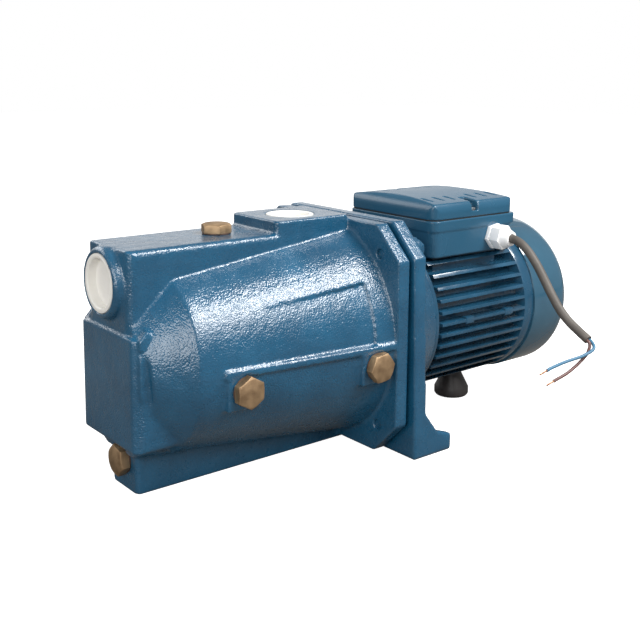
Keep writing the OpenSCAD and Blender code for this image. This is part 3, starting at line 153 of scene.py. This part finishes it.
# The two cores of the cable: stranded copper in PVC insulation, one blue and one brown. They splay
# from the cut jacket and sag a little, and the last 9 mm of each is stripped bare.
core_radius = 0.0014
bare_length = 0.009
core_points = {
    "blue": [(119.8, -168.5, 95), (119.8, -170.75, 93.75), (119.2, -173.2, 91.8),
             (116.5, -175.8, 89.6), (112.5, -176, 87.6), (108, -175, 86), (102, -174, 84.5),
             (95, -172.5, 83.5), (88, -171, 82.5), (81, -170, 81.5), (74, -169.5, 80.5),
             (68, -169, 79.5), (63, -169, 78.5)],
    "brown": [(116.2, -168.5, 95), (116.2, -170.75, 93.75), (115.6, -172.1, 91.2),
              (113.9, -172.5, 88), (111.5, -172.8, 85), (108, -172.4, 82), (104, -171.8, 79.2),
              (99.5, -171.2, 76.4), (95, -170.5, 74), (90, -170, 71.8), (84, -169.5, 70),
              (78, -169, 68.6), (72.5, -169, 67.5)]}
# harder PVC than the jacket's, with a slight shine
core_finish = {"blue": moulded("blue_core_pvc", "#4f7f9b", "#3f6c8a", roughness=0.38, grain=0.002,
                               depth=0.00002, patch=0.02),
               "brown": moulded("brown_core_pvc", "#74544f", "#5e413d", roughness=0.38, grain=0.002,
                                depth=0.00002, patch=0.02)}

# new copper wire, bright but stained in spots of 2 to 3 mm by the fingers that twisted it
strand_copper, tree, place = start_finish("bare_copper_strand")
stain = put(tree, "ShaderNodeTexNoise", {"Vector": place, "Scale": 400.0, "Detail": 2.0})
tint = put(tree, "ShaderNodeMix", {0: stain.outputs["Fac"], 6: linear("#b98060"), 7: linear("#e2b494")},
           data_type="RGBA")
close_finish(tree, {"Base Color": tint.outputs[2], "Metallic": 1.0, "Roughness": 0.34})


def strands_tree():
    """Strands set in a ring round a straight wire line and twisted along it."""
    group = bpy.data.node_groups.new("twisted_strands", "GeometryNodeTree")
    sizes = {"Start": ("NodeSocketVector", (0, 0, 0)), "End": ("NodeSocketVector", (0, 0, 0)),
             "Strand radius": ("NodeSocketFloat", 0.0002), "Lay radius": ("NodeSocketFloat", 0.0005),
             "Strands": ("NodeSocketInt", 7), "Finish": ("NodeSocketMaterial", None)}
    for name, (kind, value) in sizes.items():
        socket = group.interface.new_socket(name, in_out="INPUT", socket_type=kind)
        if value is not None:
            socket.default_value = value
    group.interface.new_socket("Geometry", in_out="OUTPUT", socket_type="NodeSocketGeometry")
    given = put(group, "NodeGroupInput").outputs
    wire = put(group, "GeometryNodeCurvePrimitiveLine", {"Start": given["Start"], "End": given["End"]})
    fine = put(group, "GeometryNodeResampleCurve", {"Curve": wire.outputs["Curve"], "Count": 14})
    along = put(group, "GeometryNodeSplineParameter")
    # the bunch turns by 4 radians from the insulation to its tip
    turn = put(group, "ShaderNodeMath", {0: along.outputs["Factor"], 1: 4.0}, operation="MULTIPLY")
    twisted = put(group, "GeometryNodeSetCurveTilt", {"Curve": fine.outputs["Curve"],
                                                      "Tilt": turn.outputs[0]})
    ring = put(group, "GeometryNodeMeshCircle", {"Vertices": given["Strands"],
                                                 "Radius": given["Lay radius"]})
    strand = put(group, "GeometryNodeCurvePrimitiveCircle", {"Resolution": 8,
                                                             "Radius": given["Strand radius"]})
    laid = put(group, "GeometryNodeInstanceOnPoints", {"Points": ring.outputs["Mesh"],
                                                       "Instance": strand.outputs["Curve"]})
    bunch = put(group, "GeometryNodeRealizeInstances", {"Geometry": laid.outputs["Instances"]})
    swept = put(group, "GeometryNodeCurveToMesh", {"Curve": twisted.outputs["Curve"],
                                                   "Profile Curve": bunch.outputs["Geometry"],
                                                   "Fill Caps": True})
    coloured = put(group, "GeometryNodeSetMaterial", {"Geometry": swept.outputs["Mesh"],
                                                      "Material": given["Finish"]})
    put(group, "NodeGroupOutput", {"Geometry": coloured.outputs["Geometry"]})
    return group


def grow(name, group, sizes):
    """Runs a node tree once with the named sizes and keeps what it makes as a plain mesh."""
    seed = bpy.data.objects.new(name, bpy.data.meshes.new(name))
    scene.collection.objects.link(seed)
    maker = seed.modifiers.new("maker", "NODES")
    maker.node_group = group
    for item in group.interface.items_tree:
        if item.in_out == "INPUT" and item.name in sizes:
            maker[item.identifier] = sizes[item.name]
    depsgraph = bpy.context.evaluated_depsgraph_get()
    grown = bpy.data.meshes.new_from_object(seed.evaluated_get(depsgraph), depsgraph=depsgraph)
    seed.modifiers.clear()
    seed.data = grown
    return seed


strands = strands_tree()
for colour, points in core_points.items():
    core = draw_cord("core_" + colour + "_insulation", points, core_radius, core_finish[colour])
    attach(core, "pump")
    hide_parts("core_" + colour)
    before, last = Vector(points[-2]) / 1000, Vector(points[-1]) / 1000
    bare = grow("core_" + colour + "_strands", strands, {
        "Start": last, "End": last + (last - before).normalized() * bare_length,
        "Strand radius": 0.00024, "Lay radius": 0.00055, "Strands": 7, "Finish": strand_copper})
    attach(bare, "pump")
    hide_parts("core_ends")


# The pump body: one grey-iron casting that holds the suction gallery, the jet and the barrel. The
# sand leaves a grainy skin and soft edges, and a thick gloss enamel is sprayed straight over it.
def enamel(name, deep, mid, pale, grain, depth, lumps, roughness, coat):
    """Gloss blue enamel. It rounds off the skin under it, so that skin glitters where a lamp meets it.
    grain is the width of one grain of the skin, depth its height, and lumps the width of one soft
    swelling, in metres."""
    finish, tree, place = start_finish(name)
    # sprayed by hand: the colour drifts in clouds about 40 mm across
    cloud = put(tree, "ShaderNodeTexNoise", {"Vector": place, "Scale": 26.0, "Detail": 5.0,
                                             "Roughness": 0.6})
    tint = put(tree, "ShaderNodeValToRGB", {"Fac": cloud.outputs["Fac"]})
    tint.color_ramp.elements[0].position = 0.3
    tint.color_ramp.elements[0].color = linear(deep)
    tint.color_ramp.elements[1].position = 0.72
    tint.color_ramp.elements[1].color = linear(pale)
    tint.color_ramp.elements.new(0.5).color = linear(mid)
    waves = put(tree, "ShaderNodeTexNoise", {"Vector": place, "Scale": 1 / lumps, "Detail": 2.0})
    broad = put(tree, "ShaderNodeBump", {"Height": waves.outputs["Fac"], "Strength": 0.7,
                                         "Distance": depth * 2.2})
    skin = put(tree, "ShaderNodeTexNoise", {"Vector": place, "Scale": 1 / grain, "Detail": 1.0,
                                            "Roughness": 0.4})
    relief = put(tree, "ShaderNodeBump", {"Height": skin.outputs["Fac"], "Distance": depth,
                                          "Normal": broad.outputs["Normal"]})
    shine = put(tree, "ShaderNodeMapRange", {"Value": waves.outputs["Fac"], "From Min": 0.3,
                                             "From Max": 0.7, "To Min": roughness - 0.07,
                                             "To Max": roughness + 0.09})
    close_finish(tree, {"Base Color": tint.outputs["Color"], "Roughness": shine.outputs["Result"],
                        "Coat Weight": coat, "Coat Roughness": 0.05, "Normal": relief.outputs["Normal"],
                        "Coat Normal": relief.outputs["Normal"]})
    return finish


def take_cad(node, name):
    """A merged copy of a CAD solid's mesh, to be finished as the real piece is."""
    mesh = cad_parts[node].data.copy()
    mesh.name = name
    mesh.materials.clear()
    whole = bmesh.new()
    whole.from_mesh(mesh)
    bmesh.ops.remove_doubles(whole, verts=whole.verts, dist=2e-6)
    bmesh.ops.dissolve_degenerate(whole, edges=whole.edges, dist=1e-6)
    whole.to_mesh(mesh)
    whole.free()
    piece = bpy.data.objects.new(name, mesh)
    scene.collection.objects.link(piece)
    return piece


def settle(piece, angle):
    """Applies the piece's modifiers and shades it smooth up to an angle in degrees."""
    depsgraph = bpy.context.evaluated_depsgraph_get()
    done = bpy.data.meshes.new_from_object(piece.evaluated_get(depsgraph), depsgraph=depsgraph)
    piece.modifiers.clear()
    piece.data = done
    done.shade_smooth()
    done.set_sharp_from_angle(angle=math.radians(angle))


def hand_over(piece, node, finish, body):
    """Gives the finished piece its material, and puts it on its body in place of the CAD node."""
    piece.data.materials.append(finish)
    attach(piece, body)
    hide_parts(node)


def soften(node, name, finish, body, voxel, passes, most):
    """A cast or moulded piece: the CAD solid with its edges rounded as sand or a mould leaves them.
    It is cut into voxels, smoothed in a number of passes and thinned to at most so many triangles."""
    piece = take_cad(node, name)
    grit = piece.modifiers.new("grit", "REMESH")
    grit.mode = "VOXEL"
    grit.voxel_size = voxel
    worn = piece.modifiers.new("worn", "SMOOTH")
    worn.factor = 0.5
    worn.iterations = passes
    depsgraph = bpy.context.evaluated_depsgraph_get()
    triangles = len(piece.evaluated_get(depsgraph).data.polygons) * 2
    lean = piece.modifiers.new("lean", "DECIMATE")
    lean.ratio = min(1.0, most / triangles)
    settle(piece, 55)
    hand_over(piece, node, finish, body)


# the coarsest skin of the pump: grains of green sand just over 1 mm wide
iron_enamel = enamel("gloss_enamel_on_cast_iron", "#144865", "#184f6d", "#1c5878", grain=0.0013,
                     depth=0.00038, lumps=0.008, roughness=0.3, coat=0.8)
soften("pump_body", "pump_body_casting", iron_enamel, "pump",
       voxel=0.0012, passes=8, most=190000)


# The two transport caps: blow-moulded white polyethylene cups pushed into the ports, with a soft
# rolled edge. The wall is thin and waxy, so light goes a little way into it.
port_plastic = moulded("white_polyethylene", "#f3f1ec", "#e6e3db", roughness=0.42, grain=0.003,
                       depth=0.00003, patch=0.02, subsurface=0.15)


def machine(node, name, finish, body, edge):
    """A turned, pressed or moulded piece: the CAD solid with its sharp edges broken by a small bevel,
    edge metres wide."""
    sharp_angle = 32
    piece = take_cad(node, name)
    flat = bmesh.new()
    flat.from_mesh(piece.data)
    bmesh.ops.dissolve_limit(flat, angle_limit=math.radians(0.6), verts=flat.verts, edges=flat.edges)
    flat.to_mesh(piece.data)
    flat.free()
    broken = piece.modifiers.new("broken_edges", "BEVEL")
    broken.limit_method = "ANGLE"
    broken.angle_limit = math.radians(sharp_angle)
    broken.width = edge
    broken.segments = 2
    broken.use_clamp_overlap = True
    settle(piece, sharp_angle)
    hand_over(piece, node, finish, body)


machine("suction_cap", "suction_cap_cup", port_plastic, "suction_cap", edge=0.0006)
machine("delivery_cap", "delivery_cap_cup", port_plastic, "delivery_cap", edge=0.0006)


# The four filling, drain and tapping plugs: hot-stamped brass hexagons, dull from the press and
# tarnished in patches, each screwed down on a washer of dark vulcanised fibre.
stamped_brass, tree, place = start_finish("hot_stamped_brass")
# tarnish in patches about 11 mm across, and scale pits of about 1 mm
tarnish = put(tree, "ShaderNodeTexNoise", {"Vector": place, "Scale": 90.0, "Detail": 5.0})
tint = put(tree, "ShaderNodeValToRGB", {"Fac": tarnish.outputs["Fac"]})
tint.color_ramp.elements[0].position = 0.32
tint.color_ramp.elements[0].color = linear("#9b8063")
tint.color_ramp.elements[1].position = 0.7
tint.color_ramp.elements[1].color = linear("#cdb08c")
dull = put(tree, "ShaderNodeMapRange", {"Value": tarnish.outputs["Fac"], "To Min": 0.5, "To Max": 0.72})
pits = put(tree, "ShaderNodeTexNoise", {"Vector": place, "Scale": 900.0, "Detail": 3.0})
relief = put(tree, "ShaderNodeBump", {"Height": pits.outputs["Fac"], "Distance": 0.00012})
close_finish(tree, {"Base Color": tint.outputs["Color"], "Metallic": 1.0,
                    "Roughness": dull.outputs["Result"], "Normal": relief.outputs["Normal"]})
fibre = moulded("vulcanised_fibre", "#5a463a", "#3f3028", roughness=0.62, grain=0.0012, depth=0.00005)
for plug_place, plug, washer in (("filling", "filling_plug", "filling_plug_washer"),
                                 ("drain", "drain_plug", "drain_plug_washer"),
                                 ("front_side", "front_side_plug", "front_side_washer"),
                                 ("rear_side", "rear_side_plug", "rear_side_washer")):
    machine(plug, plug + "_brass", stamped_brass, plug_place + "_plug_set", edge=0.0004)
    machine(washer, washer + "_ring", fibre, plug_place + "_washer_set", edge=0.0002)


# The bracket between pump and motor: a second iron casting that closes the barrel, carries the front
# bearing and stands on two feet. Its skin is flatter than the body's, under the same enamel.
bracket_enamel = enamel("gloss_enamel_on_bracket_iron", "#144865", "#184f6d", "#1c5878", grain=0.0013,
                        depth=0.00022, lumps=0.010, roughness=0.28, coat=0.75)
soften("bracket", "bracket_casting", bracket_enamel, "pump",
       voxel=0.0013, passes=5, most=170000)


# The flange bolts and their washers: tightened before the pump is sprayed, so the enamel covers them
# with the castings and fills the crease round each head.
for node in ("flange_bolts", "flange_bolt_washers"):
    machine(node, node + "_painted", bracket_enamel, "pump", edge=0.0004)


# Rods and screws that hold castings and covers together: cold-headed steel with a thin blue-white
# zinc plating, which blooms paler in patches about 5 mm across.
zinc, tree, place = start_finish("zinc_plated_steel")
bloom = put(tree, "ShaderNodeTexNoise", {"Vector": place, "Scale": 220.0, "Detail": 4.0})
tint = put(tree, "ShaderNodeMix", {0: bloom.outputs["Fac"], 6: linear("#9aa0a4"), 7: linear("#c9cdd0")},
           data_type="RGBA")
dull = put(tree, "ShaderNodeMapRange", {"Value": bloom.outputs["Fac"], "To Min": 0.24, "To Max": 0.42})
close_finish(tree, {"Base Color": tint.outputs[2], "Metallic": 1.0, "Roughness": dull.outputs["Result"]})
for node in ("tie_rods", "fan_cover_screws", "terminal_box_screws", "foot_screw", "diffuser_screws"):
    machine(node, node + "_plated", zinc, "pump", edge=0.0002)
machine("cover_screws", "cover_screws_plated", zinc, "terminal_lid", edge=0.0002)


# Turned and ground steel: the shaft, the bearing rings and balls, the springs and the clips. The
# tool leaves fine rings round the shaft line, drawn 0.4 mm apart so that they show.
bright, tree, place = start_finish("ground_bright_steel")
lathe = put(tree, "ShaderNodeMapping", {"Vector": place, "Scale": (2500.0, 40.0, 40.0)})
marks = put(tree, "ShaderNodeTexNoise", {"Vector": lathe.outputs["Vector"], "Scale": 1.0, "Detail": 2.0})
relief = put(tree, "ShaderNodeBump", {"Height": marks.outputs["Fac"], "Distance": 0.00001})
dull = put(tree, "ShaderNodeMapRange", {"Value": marks.outputs["Fac"], "To Min": 0.16, "To Max": 0.34})
close_finish(tree, {"Base Color": linear("#b8bbbe"), "Metallic": 1.0,
                    "Roughness": dull.outputs["Result"], "Normal": relief.outputs["Normal"]})


def dress(finish, *nodes):
    """Gives CAD pieces that keep their own mesh their finish."""
    for node in nodes:
        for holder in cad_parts[node].material_slots:
            holder.material = finish


dress(bright, "shaft", "bearing_outer_rings", "bearing_inner_rings", "bearing_balls", "wave_spring",
      "seal_spring", "fan_clip", "impeller_key")


# The jet and impeller set, all hidden in the barrel: nozzle, impeller and nut are brass, and the
# venturi and diffuser are moulded in dark glass-filled plastic, as the motor's fan is.
dress(stamped_brass, "nozzle", "impeller", "impeller_nut")
dark_plastic = moulded("glass_filled_polyphenylene", "#3d3d3e", "#29292a", roughness=0.48, grain=0.0015,
                       depth=0.00005)
dress(dark_plastic, "venturi", "diffuser", "fan")


# The seals: moulded nitrile rings and sleeves wherever water or dust has to stay out, and on the
# shaft a lapped carbon ring that a spring presses on a polished ceramic seat.
seal_rubber = moulded("nitrile_rubber", "#2b2b2b", "#1c1c1c", roughness=0.6, grain=0.001, depth=0.00004)
seal_carbon = moulded("seal_face_carbon", "#4a4c4f", "#38393c", roughness=0.3, grain=0.0008,
                      depth=0.00001)
seal_ceramic = moulded("seal_face_ceramic", "#ece8df", "#dcd7cb", roughness=0.2, grain=0.0008,
                       depth=0.00001)
dress(seal_rubber, "nozzle_o_ring", "venturi_o_ring", "body_o_ring", "seal_seat_cup", "slinger",
      "terminal_gasket", "gland_seal")
dress(seal_carbon, "seal_rotary_ring")
dress(seal_ceramic, "seal_seat")


# The electric parts of the motor: laminations stamped from electrical steel and stacked along the
# shaft, and coils of enamelled wire laced and varnished.
stack, tree, place = start_finish("laminated_electrical_steel")
# real sheets are 0.5 mm thick, and are drawn coarser so that the stack shows
sheets = put(tree, "ShaderNodeTexWave", {"Vector": place, "Scale": 110.0, "Distortion": 0.3},
             bands_direction="X")
tint = put(tree, "ShaderNodeMix", {0: sheets.outputs["Fac"], 6: linear("#55585b"), 7: linear("#8c8f92")},
           data_type="RGBA")
relief = put(tree, "ShaderNodeBump", {"Height": sheets.outputs["Fac"], "Distance": 0.0001})
close_finish(tree, {"Base Color": tint.outputs[2], "Metallic": 0.9, "Roughness": 0.45,
                    "Normal": relief.outputs["Normal"]})
dress(stack, "stator_core", "rotor_core")
coil, tree, place = start_finish("varnished_copper_wire")
# bundles of wire side by side under a clear brown varnish
wire = put(tree, "ShaderNodeTexWave", {"Vector": place, "Scale": 160.0, "Distortion": 4.0,
                                       "Detail": 2.0, "Detail Scale": 0.4}, bands_direction="DIAGONAL")
tint = put(tree, "ShaderNodeMix", {0: wire.outputs["Fac"], 6: linear("#6e3418"), 7: linear("#b8683a")},
           data_type="RGBA")
relief = put(tree, "ShaderNodeBump", {"Height": wire.outputs["Fac"], "Distance": 0.0003})
close_finish(tree, {"Base Color": tint.outputs[2], "Metallic": 0.4, "Roughness": 0.35,
                    "Normal": relief.outputs["Normal"], "Coat Weight": 0.5})
dress(coil, "stator_windings")


# The motor casing and rear end shield: die-cast aluminium with long cooling fins, sprayed with the
# same blue. A steel die leaves a much smoother skin than sand, so the gloss is more even.
casing_enamel = enamel("enamel_on_die_cast_aluminium", "#1d455e", "#214d67", "#265673", grain=0.0024,
                       depth=0.00005, lumps=0.014, roughness=0.24, coat=0.6)
machine("motor_casing", "motor_casing_painted", casing_enamel, "pump",
        edge=0.0007)
machine("rear_end_shield", "rear_end_shield_painted", casing_enamel, "pump",
        edge=0.0008)


# The fan cover: one deep-drawn steel cup pushed over the end shield and screwed to it. Drawn sheet
# is smooth, so its enamel is the glossiest of all, with only the faint swell of sprayed paint.
# its blue is paler and greyer than the castings': a painted sheen for the broad pale highlight across
# the cover
cover_enamel = enamel("enamel_on_drawn_sheet", "#31566b", "#345b70", "#386177", grain=0.0045,
                      depth=0.00002, lumps=0.03, roughness=0.14, coat=0.9)
machine("fan_cover", "fan_cover_painted", cover_enamel, "pump", edge=0.0004)


# The terminal box: a moulded plastic base and a pillowed lid in satin blue, screwed to the casing,
# with the connection block of cream melamine and the motor capacitor in its white can inside.
box_plastic = moulded("satin_blue_plastic", "#2a5873", "#245068", roughness=0.25, grain=0.0022,
                      depth=0.00005, patch=0.05)
soften("terminal_box", "terminal_box_base", box_plastic, "pump",
       voxel=0.0008, passes=2, most=90000)
soften("terminal_cover", "terminal_box_lid", box_plastic, "terminal_lid",
       voxel=0.0007, passes=9, most=90000)
melamine = moulded("cream_melamine", "#dcd7c8", "#cdc7b6", roughness=0.4, grain=0.0015, depth=0.00003)
white_can = moulded("white_capacitor_can", "#dededa", "#cfcfc9", roughness=0.35, grain=0.0015,
                    depth=0.00002)
dress(melamine, "terminal_block")
dress(white_can, "capacitor")


# The cable gland: a nylon body screwed into the terminal box and its cap nut, in very light grey.
# The nut squeezes a rubber sleeve on the cable. Nylon lets a little light in at its edges.
gland_nylon = moulded("light_grey_nylon", "#ffffff", "#f8f7f5", roughness=0.42, grain=0.0015,
                      depth=0.00003, patch=0.01, subsurface=0.08)
machine("gland_body", "gland_body_nylon", gland_nylon, "pump", edge=0.0004)
machine("gland_nut", "gland_nut_nylon", gland_nylon, "pump", edge=0.0004)


# The rear support: a moulded rubber bobbin screwed up into the casing. The mould's polish leaves a
# soft shine on the dark grey rubber.
foot_rubber = moulded("support_rubber", "#4b4746", "#393535", roughness=0.42, grain=0.0014,
                      depth=0.00004)
machine("rubber_foot", "rubber_foot_bobbin", foot_rubber, "pump", edge=0.0005)


# The studio floor: one wide matt sheet just under the feet. The camera sees it almost white, with a
# painted glow of its own. Every other ray meets a warm grey, which puts painted shade and a darker
# reflection on the pump's underside.
floor_reach = 6
floor_gap = 0.0004
floor_mesh = bpy.data.meshes.new("studio_floor")
floor_mesh.from_pydata([(-floor_reach, -floor_reach, 0), (floor_reach, -floor_reach, 0),
                        (floor_reach, floor_reach, 0), (-floor_reach, floor_reach, 0)],
                       [], [(0, 1, 2, 3)])
floor = bpy.data.objects.new("studio_floor", floor_mesh)
floor.location.z = -floor_gap
scene.collection.objects.link(floor)
floor_paint, tree, place = start_finish("matt_floor_paint")
seen = put(tree, "ShaderNodeLightPath").outputs["Is Camera Ray"]
# for camera rays: a pale floor that glows a little by itself, a painted glow
pale = put(tree, "ShaderNodeBsdfPrincipled", {"Base Color": linear("#dcdbd9"), "Roughness": 0.9,
                                              "Emission Color": (1, 1, 1, 1), "Emission Strength": 0.95})
# for every other ray: a warm grey, painted shade and a darker reflection on the pump's underside
underside_shade_grey = put(tree, "ShaderNodeBsdfPrincipled", {"Base Color": linear("#6c6863"), "Roughness": 0.9})
either = put(tree, "ShaderNodeMixShader", {0: seen, 1: underside_shade_grey.outputs["BSDF"],
                                           2: pale.outputs["BSDF"]})
put(tree, "ShaderNodeOutputMaterial", {"Surface": either.outputs["Shader"]})
floor_mesh.materials.append(floor_paint)


# The studio round the pump: a white surround that lights it only dimly, and five soft boxes aimed at
# the middle of the shaft, which draw the long highlight on the barrel and the pale top faces.
surround = bpy.data.worlds.new("studio_surround")
surround.use_nodes = True
surround.node_tree.nodes.clear()
seen = put(surround.node_tree, "ShaderNodeLightPath").outputs["Is Camera Ray"]
dim = put(surround.node_tree, "ShaderNodeBackground", {"Color": (0.95, 0.97, 1, 1), "Strength": 0.26})
white = put(surround.node_tree, "ShaderNodeBackground", {"Color": (1, 1, 1, 1), "Strength": 1.0})
both = put(surround.node_tree, "ShaderNodeMixShader", {0: seen, 1: dim.outputs["Background"],
                                                       2: white.outputs["Background"]})
put(surround.node_tree, "ShaderNodeOutputWorld", {"Surface": both.outputs["Shader"]})
scene.world = surround

shaft_middle = sum(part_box("shaft"), Vector()) / 2


def softbox(name, place, size, power):
    """A rectangular lamp: its place and size in metres and its power in watts."""
    lamp = bpy.data.lights.new(name, "AREA")
    lamp.shape = "RECTANGLE"
    lamp.size, lamp.size_y = size
    lamp.energy = power
    holder = bpy.data.objects.new(name, lamp)
    holder.location = place
    holder.rotation_euler = (shaft_middle - Vector(place)).to_track_quat("-Z", "Y").to_euler()
    holder.visible_camera = False
    scene.collection.objects.link(holder)


softbox("ceiling_strip", (0.5, -0.8, 1.3), (1.0, 0.35), 24)
softbox("backdrop_panel", (1.6, 1.9, 0.5), (4.0, 1.6), 12)
softbox("front_softbox", (0.2, -1.6, 1.4), (1.4, 0.7), 18)
softbox("left_softbox", (-1.6, -0.9, 0.7), (1.2, 1.0), 19)
softbox("rear_softbox", (-0.7, 1.7, 1.2), (1.6, 0.8), 12)


bpy.context.view_layer.update()
